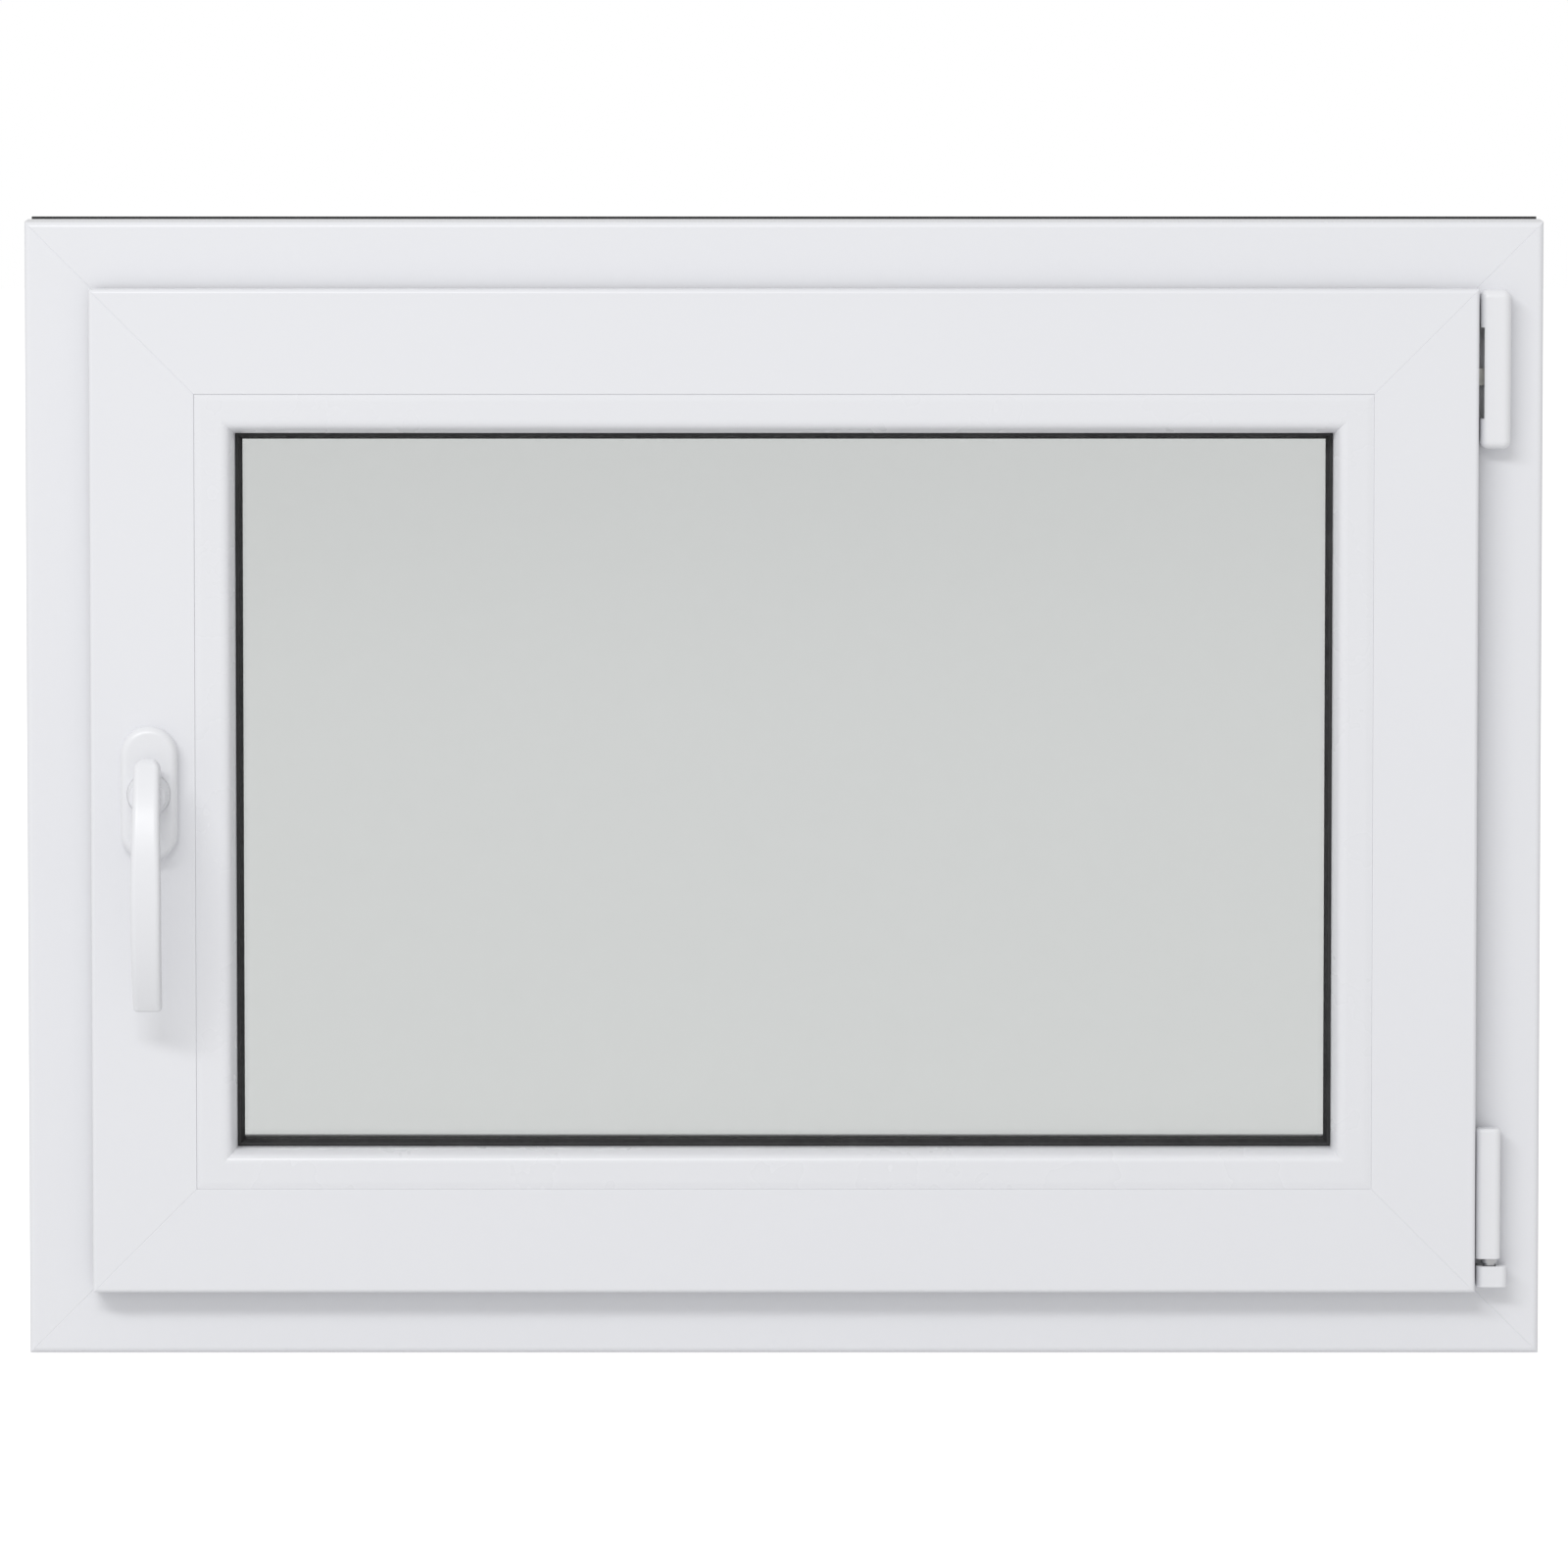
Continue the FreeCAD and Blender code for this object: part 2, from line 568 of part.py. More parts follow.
def gearbox_case():
    u = HANDLE_X - SASH_RECT[0]
    case = side_box("left", SASH_RECT, (21.6, 42.5), CASE_Y, (HANDLE_Z - CASE_HALF, HANDLE_Z + CASE_HALF))
    tip_r = PITCH_R + PINION_ADDENDUM
    gear_room = (GEAR_Y[0] - 0.3, GEAR_Y[1] + 0.3)
    rack_room = (21.0, u - PITCH_R + RACK_ADDENDUM + 0.5)
    tools = [along_y(tip_r + 0.4, HANDLE_X, gear_room, HANDLE_Z),
             along_y(HUB_R + 0.05, HANDLE_X, (CASE_Y[0] - 1, CASE_Y[1] + 1), HANDLE_Z),
             side_box("left", SASH_RECT, rack_room, gear_room,
                      (HANDLE_Z - CASE_HALF - 1, HANDLE_Z + CASE_HALF + 1))]
    for z in screw_heights():
        tools.append(along_y(SCREW_R + 0.05, HANDLE_X, (CASE_Y[0] - 1, CASE_Y[1] + 1), z))
    NODES["gearbox_case"] = cut_all(case, tools)


def gear_tooth(root_r):
    """One involute tooth outline pointing towards -X from the pinion's centre, in the XZ plane."""
    base_r = PITCH_R * cos(PRESSURE_ANGLE)
    tip_r = PITCH_R + PINION_ADDENDUM
    pitch_half = pi / (2 * PINION_TEETH) - BACKLASH / (4 * PITCH_R)
    pitch_inv = tan(PRESSURE_ANGLE) - PRESSURE_ANGLE
    flank = [(root_r - 0.3, None)]
    for i in range(6):
        r = base_r + (tip_r - base_r) * i / 5
        turn = acos(base_r / r)
        flank.append((r, pitch_half + pitch_inv - (tan(turn) - turn)))
    flank[0] = (flank[0][0], flank[1][1])
    side = [V(HANDLE_X - r * cos(a), GEAR_Y[0], HANDLE_Z + r * sin(a)) for r, a in flank]
    other = [V(p.x, p.y, 2 * HANDLE_Z - p.z) for p in reversed(side)]
    wire = Part.makePolygon(side + other + side[:1])
    return Part.Face(wire).extrude(V(0, GEAR_Y[1] - GEAR_Y[0], 0))


def gear_pinion():
    root_r = PITCH_R - PINION_DEDENDUM
    centre = V(HANDLE_X, 0, HANDLE_Z)
    pieces = [along_y(root_r, HANDLE_X, GEAR_Y, HANDLE_Z), along_y(HUB_R, HANDLE_X, CASE_Y, HANDLE_Z)]
    for k in range(PINION_TEETH):
        tooth = gear_tooth(root_r)
        tooth.rotate(centre, V(0, 1, 0), 360.0 / PINION_TEETH * k)
        pieces.append(tooth)
    half = SPINDLE / 2
    hole = box((HANDLE_X - half, HANDLE_X + half), (0, 20), (HANDLE_Z - half, HANDLE_Z + half))
    NODES["gear_pinion"] = fuse_all(pieces).cut(hole)


def striker(side, along, length=34.0):
    """Keep screwed to the frame rebate, with a raised rib either side of its slot."""
    low, high = (along - length / 2, along + length / 2)
    plate = side_box(side, FRAME_RECT, (FRAME_LIP, FRAME_LIP + 2), (2.0, 24.0), (low, high))
    rib = side_box(side, FRAME_RECT, (FRAME_LIP, STRIKER_U), (18.5, 24.0), (low + 2, high - 2))
    step = side_box(side, FRAME_RECT, (FRAME_LIP, STRIKER_U - 2), (2.0, 5.0), (low + 2, high - 2))
    return fuse_all([plate, rib, step])


def strikers():
    keeps = [striker(side, along + DRIVE_SIGN[side] * 4)
             for side in ("left", "right") for along in CAM_AT[side]]
    keeps += [striker("top", CAM_AT["top"][0])]
    NODES["striker_plates"] = Part.makeCompound(keeps)
    NODES["tilt_strikers"] = Part.makeCompound([striker("bottom", along, 46.0) for along in CAM_AT["bottom"]])


# ---- lower hinge ----------------------------------------------------------------------------------
def lower_hinge_block():
    """Bracket on the frame: it holds the level axle, in a pocket that lets the corner pin tilt."""
    left, right, front = (AXIS_X - BLOCK_SIDES[0], AXIS_X + BLOCK_SIDES[1], AXIS_Y - HINGE_FRONT)
    block = upright_plate([(left, 0), (left, front, 4.2), (right, front, 3.0), (right, 0)], BLOCK_Z)
    pocket = box((AXIS_X - PIN_R - 0.4, AXIS_X + PIN_R + 0.4), (AXIS_Y - 4.9, AXIS_Y + 4.2),
                 (BLOCK_Z[0] - 1, BLOCK_Z[1] + 1))
    axle = along_x(TRUNNION_R, (left, right), AXIS_Y, TILT_Z)
    NODES["lower_hinge_block"] = block.cut(pocket).cut(axle)
    NODES["tilt_axle"] = axle


def corner_pin():
    """Upright pin that the sash turns on, with the eye that lets it tilt and a thrust collar."""
    pin = upright(PIN_R, AXIS_X, AXIS_Y, (TILT_Z - 2.8, BAND_Z[1] - 0.5))
    collar = upright(COLLAR_R, AXIS_X, AXIS_Y, (BLOCK_Z[1] + 1.6, BAND_Z[0] - 0.3))
    eye = along_x(TRUNNION_R + TRUNNION_FIT, (AXIS_X - 6, AXIS_X + 6), AXIS_Y, TILT_Z)
    NODES["corner_pin"] = fuse_all([pin, collar]).cut(eye)


def lower_hinge_band():
    """Barrel on the pin, and the leaf that runs behind the lip and folds into the rebate."""
    leaf_x = SASH_RECT[1] - EDGE_U
    barrel = upright(BARREL_R, AXIS_X, AXIS_Y, BAND_Z)
    web = box((AXIS_X - 4.0, AXIS_X), (AXIS_Y, -0.4), BAND_Z)
    leaf = box((leaf_x, AXIS_X), (-2.75, -0.4), BAND_Z)
    fold = box((leaf_x, leaf_x + 2.5), (-2.75, 17.5), BAND_Z)
    bore = upright(PIN_R + PIN_FIT, AXIS_X, AXIS_Y, (BAND_Z[0] - 1, BAND_Z[1] + 1))
    NODES["lower_hinge_band"] = fuse_all([barrel, web, leaf, fold]).cut(bore)


def lower_hinge_cover():
    """Moulded square sleeve over the barrel, closed and softened at the top."""
    low, high = (BAND_Z[0], BAND_Z[1] + COVER_ABOVE_BAND)
    plan = rectangle(AXIS_X - COVER_SIDES[0], AXIS_X + COVER_SIDES[1],
                     AXIS_Y - COVER_HALF_DEPTH, AXIS_Y + COVER_HALF_DEPTH, 3.2)
    sleeve = upright_plate(plan, (low, high))
    top = [e for e in sleeve.Edges if e.BoundBox.ZMin > high - 0.01]
    sleeve = sleeve.makeFillet(1.6, top)
    hollow = upright(BARREL_R + 0.1, AXIS_X, AXIS_Y, (low - 1, BAND_Z[1] + 0.4))
    mouth = box((AXIS_X - 8, AXIS_X + 0.2), (AXIS_Y + 2.5, 1), (low - 1, BAND_Z[1] + 0.4))
    NODES["lower_hinge_cover"] = sleeve.cut(hollow).cut(mouth)


# ---- upper hinge and stay -------------------------------------------------------------------------
def upper_hinge_bracket():
    back = box((AXIS_X + 1.5, AXIS_X + 7.2), (-2.4, 0), (LUG_Z[0][0], LUG_Z[1][1] + 1))
    pieces = [back]
    for z in LUG_Z:
        pieces.append(upright(LUG_R, AXIS_X, AXIS_Y, z))
        pieces.append(box((AXIS_X, AXIS_X + 7.2), (AXIS_Y - 3.0, -1.0), z))
    pin = upright(UPPER_PIN_R, AXIS_X, AXIS_Y, UPPER_PIN_Z)
    NODES["upper_hinge_bracket"] = fuse_all(pieces).cut(pin)
    NODES["upper_hinge_pin"] = pin


def upper_hinge_cap():
    """Moulded cap with well rounded edges, open at the back and slotted for the stay arm."""
    x0, x1 = (AXIS_X - CAP_SIDES[0], AXIS_X + CAP_SIDES[1])
    wall, radius = (CAP_WALL, CAP_RADIUS)
    front = AXIS_Y - HINGE_FRONT
    shell = facing_plate(rectangle(x0, x1, CAP_Z[0], CAP_Z[1], radius), (front, 0))
    shell = shell.makeFillet(radius - 0.2, rim_edges(shell, front))
    inner = facing_plate(rectangle(x0 + wall, x1 - wall, CAP_Z[0] + wall, CAP_Z[1] - wall, radius - wall),
                         (front + wall, 1))
    inner = inner.makeFillet(radius - wall - 0.2, rim_edges(inner, front + wall))
    slot = box((x0 - 1, AXIS_X - 5.05), (front - 1, 1), CAP_SLOT_Z)
    NODES["upper_hinge_cap"] = shell.cut(inner).cut(slot)


def stay_arm():
    """Flat bar over the sash with a leaf that comes round to the eye on the upper pin."""
    slider, cross, _ = stay_places()
    leaf_x = (AXIS_X - 21.4, AXIS_X - 7.6)
    leaf_y = (-2.6, -1.0)
    web_back = -1.7
    end_x = WIDTH / 2 - FRAME_LIP - 1.75
    bar = upright_plate([(slider[0] - 6, 4, 4), (slider[0] - 6, 16, 4), (cross[0] - 8, 8.5, 20),
                         (end_x, 7, 2), (end_x, leaf_y[0]), (cross[0] - 8, leaf_y[0], 30)], STAY_ARM_Z)
    leaf = box(leaf_x, leaf_y, (EYE_Z[0] - 2, STAY_ARM_Z[1]))
    outer_web = box((leaf_x[1] - 0.1, AXIS_X - 3), (leaf_y[0], web_back), (EYE_Z[0] - 2, EYE_Z[1] + 3))
    inner_web = box((AXIS_X - 3.5, AXIS_X), (AXIS_Y + 3.0, web_back), EYE_Z)
    eye = upright(EYE_R, AXIS_X, AXIS_Y, EYE_Z)
    slot = fuse_all([upright(UPPER_PIN_R + 0.45, AXIS_X, AXIS_Y + shift, (EYE_Z[0] - 1, EYE_Z[1] + 4))
                     for shift in (-0.65, 0.65)])
    slider_pin = upright(SLIDER_R, slider[0], slider[1], (STAY_ARM_Z[0] - 5.0, STAY_ARM_Z[1]))
    hole = upright(PIVOT_R + PIN_FIT, cross[0], cross[1], (STAY_ARM_Z[0] - 1, STAY_ARM_Z[1] + 1))
    arm = fuse_all([bar, leaf, outer_web, inner_web, eye, slider_pin])
    NODES["stay_arm"] = arm.cut(slot).cut(hole)


def stay_link():
    """Short bar between the sash and the arm, with the riveted cross pivot."""
    _, cross, anchor = stay_places()
    bar = fuse_all([upright_bar(anchor, cross, 4.2, STAY_LINK_Z),
                    upright(PIVOT_R, cross[0], cross[1], (STAY_LINK_Z[0], STAY_ARM_Z[1]))])
    hole = upright(PIVOT_R + PIN_FIT, anchor[0], anchor[1], (STAY_LINK_Z[0] - 1, STAY_LINK_Z[1] + 1))
    NODES["stay_link"] = bar.cut(hole)
    NODES["stay_anchor_stud"] = upright(PIVOT_R, anchor[0], anchor[1],
                                        (SASH_RECT[3] - EDGE_U, STAY_LINK_Z[1] + 0.2))


def upright_bar(start, end, half, z):
    """Flat bar with round ends between two plan points."""
    across = V(end[1] - start[1], start[0] - end[0], 0).normalize() * half
    corners = [(start[0] + across.x, start[1] + across.y), (end[0] + across.x, end[1] + across.y),
               (end[0] - across.x, end[1] - across.y), (start[0] - across.x, start[1] - across.y)]
    return fuse_all([upright_plate(corners, z), upright(half, start[0], start[1], z),
                     upright(half, end[0], end[1], z)])


# ---- handle ---------------------------------------------------------------------------------------
def stadium(width, height):
    radius = width / 2 - 0.01
    return rectangle(HANDLE_X - width / 2, HANDLE_X + width / 2, HANDLE_Z - height / 2, HANDLE_Z + height / 2,
                     radius)


def handle_base():
    width, height = ROSETTE
    plate = facing_plate(stadium(width - 4, height - 4), (SASH_FACE_Y - 4.0, SASH_FACE_Y))
    tools = [along_y(7.6, HANDLE_X, (-30, -10), HANDLE_Z)]
    tools += [along_y(2.6, HANDLE_X, (-30, -10), z) for z in screw_heights()]
    NODES["handle_base_plate"] = cut_all(plate, tools)
    shell = facing_plate(stadium(width, height), (ROSETTE_FRONT_Y, SASH_FACE_Y))
    shell = shell.makeFillet(ROSETTE_EDGE, rim_edges(shell, ROSETTE_FRONT_Y))
    wall = 1.8
    inner = facing_plate(stadium(width - 2 * wall, height - 2 * wall),
                         (ROSETTE_FRONT_Y + wall, SASH_FACE_Y + 1))
    inner = inner.makeFillet(ROSETTE_EDGE - wall, rim_edges(inner, ROSETTE_FRONT_Y + wall))
    hole = along_y(NECK_R[0] + NECK_FIT, HANDLE_X, (-40, -10), HANDLE_Z)
    NODES["handle_rosette"] = shell.cut(inner).cut(hole)


def handle_screws():
    screws = []
    for z in screw_heights():
        shank = along_y(SCREW_R, HANDLE_X, (SASH_FACE_Y - 4.5, CASE_Y[1] - 2), z)
        head = along_y(4.3, HANDLE_X, (SASH_FACE_Y - 6.4, SASH_FACE_Y - 4.0), z)
        drive = box((HANDLE_X - 0.5, HANDLE_X + 0.5), (-27, SASH_FACE_Y - 5.4), (z - 2.8, z + 2.8))
        cross = box((HANDLE_X - 2.8, HANDLE_X + 2.8), (-27, SASH_FACE_Y - 5.4), (z - 0.5, z + 0.5))
        screws.append(fuse_all([shank, head]).cut(drive).cut(cross))
    NODES["handle_screws"] = Part.makeCompound(screws)


def bow_point(centre, radius, z):
    """Point at a height on the room side of a bowed face."""
    return V(centre.x, centre.y - sqrt(radius ** 2 - (z - centre.z) ** 2), z)


def inner_circle(centre, radius, small, z):
    """Centre of a small circle that touches a bowed face from inside, and the place it touches."""
    middle = bow_point(centre, radius - small, z)
    return middle, centre + (middle - centre) * (radius / (radius - small))


def grip_outline():
    """Side view of the lever: round head, bowed front and back, and the crook where it leaves the neck."""
    x = HANDLE_X - LEVER_WIDTH / 2
    top = HANDLE_Z + LEVER_HEAD
    end = HANDLE_Z - LEVER_END
    middle_z = HANDLE_Z - BOW_BELOW
    neck_z = HANDLE_Z - NECK_R[0] + 3.0
    front = V(x, LEVER_FRONT_Y + FRONT_BOW_R, middle_z)
    back = V(x, LEVER_FRONT_Y + GRIP_THICK + BACK_BOW_R, middle_z)
    head, front_top = inner_circle(front, FRONT_BOW_R, HEAD_R, top - HEAD_R)
    crook, crook_start = inner_circle(back, BACK_BOW_R, CROOK_R, neck_z - CROOK_R)
    crook_middle = crook + V(0, -CROOK_R, CROOK_R) * (1 / sqrt(2))
    neck_start = crook + V(0, 0, CROOK_R)
    back_low = V(x, head.y + HEAD_R, neck_z)
    back_top = head + V(0, HEAD_R, 0)
    front_end = bow_point(front, FRONT_BOW_R, end)
    back_end = bow_point(back, BACK_BOW_R, end)
    edges = [Part.Arc(front_top, bow_point(front, FRONT_BOW_R, middle_z), front_end).toShape(),
             Part.makeLine(front_end, back_end),
             Part.Arc(back_end, bow_point(back, BACK_BOW_R, middle_z), crook_start).toShape(),
             Part.Arc(crook_start, crook_middle, neck_start).toShape(),
             Part.makeLine(neck_start, back_low), Part.makeLine(back_low, back_top),
             Part.Arc(back_top, head + V(0, 0, HEAD_R), front_top).toShape()]
    return Part.Wire(edges)


def grip_front():
    """Front view of the lever: a narrower round head, widening to the middle and easing to the end."""
    top, middle, end = HANDLE_Z + LEVER_HEAD, HANDLE_Z - BOW_BELOW, HANDLE_Z - LEVER_END
    right = [(LEVER_WIDTH / 2 - 0.4, end, 2.6), (LEVER_WIDTH / 2, middle, 400.0), (HEAD_WIDTH / 2, top, 6.0)]
    left = [(-across, z, radius) for across, z, radius in reversed(right)]
    return [(HANDLE_X + across, z, radius) for across, z, radius in right + left]


def handle_lever():
    """Bowed grip on a tapered neck; the neck runs in the base plate and drives the spindle."""
    grip = Part.Face(grip_outline()).extrude(V(LEVER_WIDTH, 0, 0))
    grip = grip.common(facing_plate(grip_front(), (LEVER_FRONT_Y - 10, 0)))
    grip = grip.makeFillet(GRIP_EDGE, grip.Edges)
    neck_back = ROSETTE_FRONT_Y + 2.5
    neck_front = ROSETTE_FRONT_Y - 0.3
    journal = along_y(NECK_R[0], HANDLE_X, (neck_back, neck_front), HANDLE_Z)
    neck = Part.makeCone(NECK_R[0], NECK_R[1], NECK_LENGTH, V(HANDLE_X, neck_front, HANDLE_Z), V(0, -1, 0))
    shank = along_y(7.5, HANDLE_X, (SASH_FACE_Y - 1.0, neck_back - 1), HANDLE_Z)
    half = SPINDLE / 2
    socket = box((HANDLE_X - half, HANDLE_X + half), (-44, 0), (HANDLE_Z - half, HANDLE_Z + half))
    NODES["handle_lever"] = fuse_all([grip, journal, neck, shank]).cut(socket)
    NODES["handle_spindle"] = box((HANDLE_X - half, HANDLE_X + half), (-44, CASE_Y[1]),
                                  (HANDLE_Z - half, HANDLE_Z + half))


# ---- fasteners ------------------------------------------------------------------------------------
def side_screw(side, rect, u, y, along, head_r=3.4, shank_r=1.9):
    """Flush screw driven square into one side of a rectangle."""
    shank = side_pin(side, rect, shank_r, u, y, along)
    head = side_pin(side, rect, head_r, (u[1] - 1.4, u[1]), y, along)
    return shank.fuse(head)


def side_cross(side, rect, u, y, along, reach=1.7, half=0.4):
    """The two cuts of a cross recess in the head of such a screw."""
    return [side_box(side, rect, u, (y - half, y + half), (along - reach, along + reach)),
            side_box(side, rect, u, (y - reach, y + reach), (along - half, along + half))]


def seat_screws(screws, *names):
    """Cut each screw's seat in the pieces it passes through."""
    for name in names:
        NODES[name] = NODES[name].cut(screws)


def frame_screws():
    screws, crosses = [], []
    head_top = FRAME_LIP + 2
    for side in ("left", "right"):
        for along in CAM_AT[side]:
            for offset in (-10, 10):
                middle = along + DRIVE_SIGN[side] * 4 + offset
                screws.append(side_screw(side, FRAME_RECT, (12.0, head_top), 11.0, middle))
                crosses.append(side_cross(side, FRAME_RECT, (head_top - 1, head_top + 1), 11.0, middle))
    x = AXIS_X + 4.6
    for z in (501.0, 541.0):
        shank = along_y(1.6, x, (-2.4, 22.0), z)
        screws.append(shank.fuse(along_y(2.4, x, (-2.4, -1.2), z)))
        crosses.append([box((x - 0.3, x + 0.3), (-3, -1.8), (z - 1.4, z + 1.4)),
                        box((x - 1.4, x + 1.4), (-3, -1.8), (z - 0.3, z + 0.3))])
    seat_screws(Part.makeCompound(screws), "striker_plates", "frame_jamb_handle_side",
                "frame_jamb_hinge_side", "frame_steel", "upper_hinge_bracket")
    NODES["frame_screws"] = Part.makeCompound([cut_all(*pair) for pair in zip(screws, crosses)])


def sash_screws():
    screws, crosses = [], []
    for side in SIDES:
        low, high = side_range(side)
        joints = (low + CORNER_LEG, high - CORNER_LEG)
        for along in [joint + offset for joint in joints for offset in (-9, 9)]:
            place = side_place(side, SASH_RECT, along)
            shank = cylinder(1.9, place(EDGE_U, 4.6), place(44.0, 4.6))
            screws.append(shank.fuse(cylinder(2.4, place(EDGE_U, 4.6), place(EDGE_U + 1.2, 4.6))))
            crosses.append(side_cross(side, SASH_RECT, (EDGE_U - 1, EDGE_U + 0.8), 4.6, along, 1.4, 0.3))
    seat_screws(Part.makeCompound(screws), "corner_drives", "sash_bottom_rail", "sash_top_rail",
                "sash_stile_handle_side", "sash_stile_hinge_side", "sash_steel",
                *["faceplate_" + side for side in SIDES])
    NODES["sash_screws"] = Part.makeCompound([cut_all(*pair) for pair in zip(screws, crosses)])


def export():
    os.makedirs("parts", exist_ok=True)
    for name, shape in NODES.items():
        solids = shape.Solids
        shape = solids[0] if len(solids) == 1 else Part.makeCompound(solids)
        shape.exportStep("parts/" + name + ".step")
        b = shape.BoundBox
        print("%-26s %2d solids  %8.1f cm3  x %7.1f %7.1f  y %6.1f %6.1f  z %6.1f %6.1f  %s" % (
            name, len(solids), shape.Volume / 1000, b.XMin, b.XMax, b.YMin, b.YMax, b.ZMin, b.ZMax,
            "ok" if shape.isValid() else "NOT VALID"))


for build in (frame_members, frame_steel, frame_trim, sash_members, sash_steel, sash_gasket, glazing_unit,
              setting_blocks, glazing_beads, glazing_gaskets, faceplates, corner_drives, drive_rods,
              gearbox_case, gear_pinion, strikers, lower_hinge_block, corner_pin, lower_hinge_band,
              lower_hinge_cover, upper_hinge_bracket, upper_hinge_cap, stay_arm, stay_link, handle_base,
              handle_screws, handle_lever, frame_screws, sash_screws):
    build()
export()
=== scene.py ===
import json
import math

import bmesh
import bpy
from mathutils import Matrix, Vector


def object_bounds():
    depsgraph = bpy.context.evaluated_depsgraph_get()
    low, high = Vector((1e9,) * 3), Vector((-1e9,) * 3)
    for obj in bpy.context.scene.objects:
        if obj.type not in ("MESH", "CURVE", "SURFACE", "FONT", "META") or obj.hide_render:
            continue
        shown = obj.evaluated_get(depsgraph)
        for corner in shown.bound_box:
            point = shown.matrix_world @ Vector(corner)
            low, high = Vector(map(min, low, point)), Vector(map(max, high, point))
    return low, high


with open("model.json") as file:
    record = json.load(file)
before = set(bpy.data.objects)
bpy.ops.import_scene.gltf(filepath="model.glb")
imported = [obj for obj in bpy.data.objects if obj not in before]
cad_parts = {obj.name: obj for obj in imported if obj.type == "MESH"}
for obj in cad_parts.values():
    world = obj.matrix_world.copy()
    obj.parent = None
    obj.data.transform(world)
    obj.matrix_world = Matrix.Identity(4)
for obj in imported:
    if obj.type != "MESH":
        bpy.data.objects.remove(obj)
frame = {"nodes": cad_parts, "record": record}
cad_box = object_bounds()
scene = bpy.context.scene

# ---- camera and light -----------------------------------------------------------------------------
CAMERA_AIM = Vector((0.0, 0.0, 0.303))
CAMERA_DISTANCE = 6.5
CAMERA_PITCH = math.radians(5.0)       # looking down
CAMERA_LENS = 282.4
CAMERA_CLIP = (0.05, 100.0)
SENSOR_WIDTH = 36.0
KEY_DIRECTION = (0.42, 1.0, -0.72)     # the way the key light travels
KEY_DISTANCE = 6.0
KEY_SIZE = (4.2, 0.9)                  # a wide, low soft box
KEY_POWER = 142.0
SKY_STRENGTH = 0.67
BACKDROP_WHITE = 1.0
FLOOR_GLOW = 0.30                      # a white sweep, lit from its own side
FLOOR_GLOW_SEEN = 0.72                 # brighter where it is looked at, so that no horizon shows
FLOOR_HALF_WIDTH = 12.0
FLOOR_GREY = (0.5, 0.5, 0.5)
FLOOR_DROP = 0.0005                    # just below the window, so the two don't flicker


def make_camera():
    data = bpy.data.cameras.new("camera")
    data.lens = CAMERA_LENS
    data.sensor_width = SENSOR_WIDTH
    data.clip_start, data.clip_end = CAMERA_CLIP
    camera = bpy.data.objects.new("camera", data)
    back_and_up = Vector((0, -math.cos(CAMERA_PITCH), math.sin(CAMERA_PITCH)))
    camera.location = CAMERA_AIM + back_and_up * CAMERA_DISTANCE
    camera.rotation_euler = (math.pi / 2 - CAMERA_PITCH, 0, 0)
    scene.collection.objects.link(camera)
    scene.camera = camera


def seen_directly(tree):
    """1 where the camera looks straight or through glass, 0 for rays that only light the window."""
    path = tree.nodes.new("ShaderNodeLightPath")
    either = tree.nodes.new("ShaderNodeMath")
    either.operation = "MAXIMUM"
    tree.links.new(path.outputs["Is Camera Ray"], either.inputs[0])
    tree.links.new(path.outputs["Is Transmission Ray"], either.inputs[1])
    return either.outputs[0]


def make_sky():
    """Even white studio: full white where the camera looks at it, softer as light on the window."""
    world = bpy.data.worlds.new("studio")
    world.use_nodes = True
    tree = world.node_tree
    strength = tree.nodes.new("ShaderNodeMapRange")
    strength.inputs["To Min"].default_value = SKY_STRENGTH
    strength.inputs["To Max"].default_value = BACKDROP_WHITE
    tree.links.new(seen_directly(tree), strength.inputs["Value"])
    back = tree.nodes["Background"]
    back.inputs["Color"].default_value = (1, 1, 1, 1)
    tree.links.new(strength.outputs["Result"], back.inputs["Strength"])
    scene.world = world


def make_key():
    data = bpy.data.lights.new("key", "AREA")
    data.shape = "RECTANGLE"
    data.size, data.size_y = KEY_SIZE
    data.energy = KEY_POWER
    lamp = bpy.data.objects.new("key", data)
    travel = Vector(KEY_DIRECTION).normalized()
    lamp.location = (cad_box[0] + cad_box[1]) / 2 - travel * KEY_DISTANCE
    lamp.rotation_euler = travel.to_track_quat("-Z", "Y").to_euler()
    scene.collection.objects.link(lamp)


# ---- materials ------------------------------------------------------------------------------------
FRAME_WHITE = (0.80, 0.806, 0.834)
SASH_WHITE = (0.797, 0.803, 0.832)
BEAD_WHITE = (0.792, 0.798, 0.826)
CAP_WHITE = (0.81, 0.815, 0.838)
LACQUER_WHITE = (0.80, 0.806, 0.832)
ROSETTE_WHITE = (0.80, 0.806, 0.83)
GLASS_TINT = (0.74, 0.749, 0.745)
RUBBER_BLACK = (0.018, 0.018, 0.019)
RUBBER_WORN = (0.030, 0.030, 0.031)
ZINC_GREY = (0.55, 0.56, 0.57)
ZINC_YELLOWED = (0.62, 0.60, 0.53)
SPACER_BLACK = (0.03, 0.03, 0.032)
SEALANT_BLACK = (0.02, 0.02, 0.02)
PACKER_BLUE = (0.05, 0.16, 0.42)
STEEL_BRIGHT = (0.60, 0.60, 0.61)
CASTING_GREY = (0.48, 0.48, 0.49)
SCREW_GREY = (0.58, 0.57, 0.54)
COARSE_DETAIL = 3.0
EVEN = (1, 1, 1)                       # a pattern's scale along x, y and z
ALONG_THE_PIN = (1, 1, 0.05)
NOISE_MIDDLE = (0.3, 0.7)              # most of a noise pattern's values lie between these


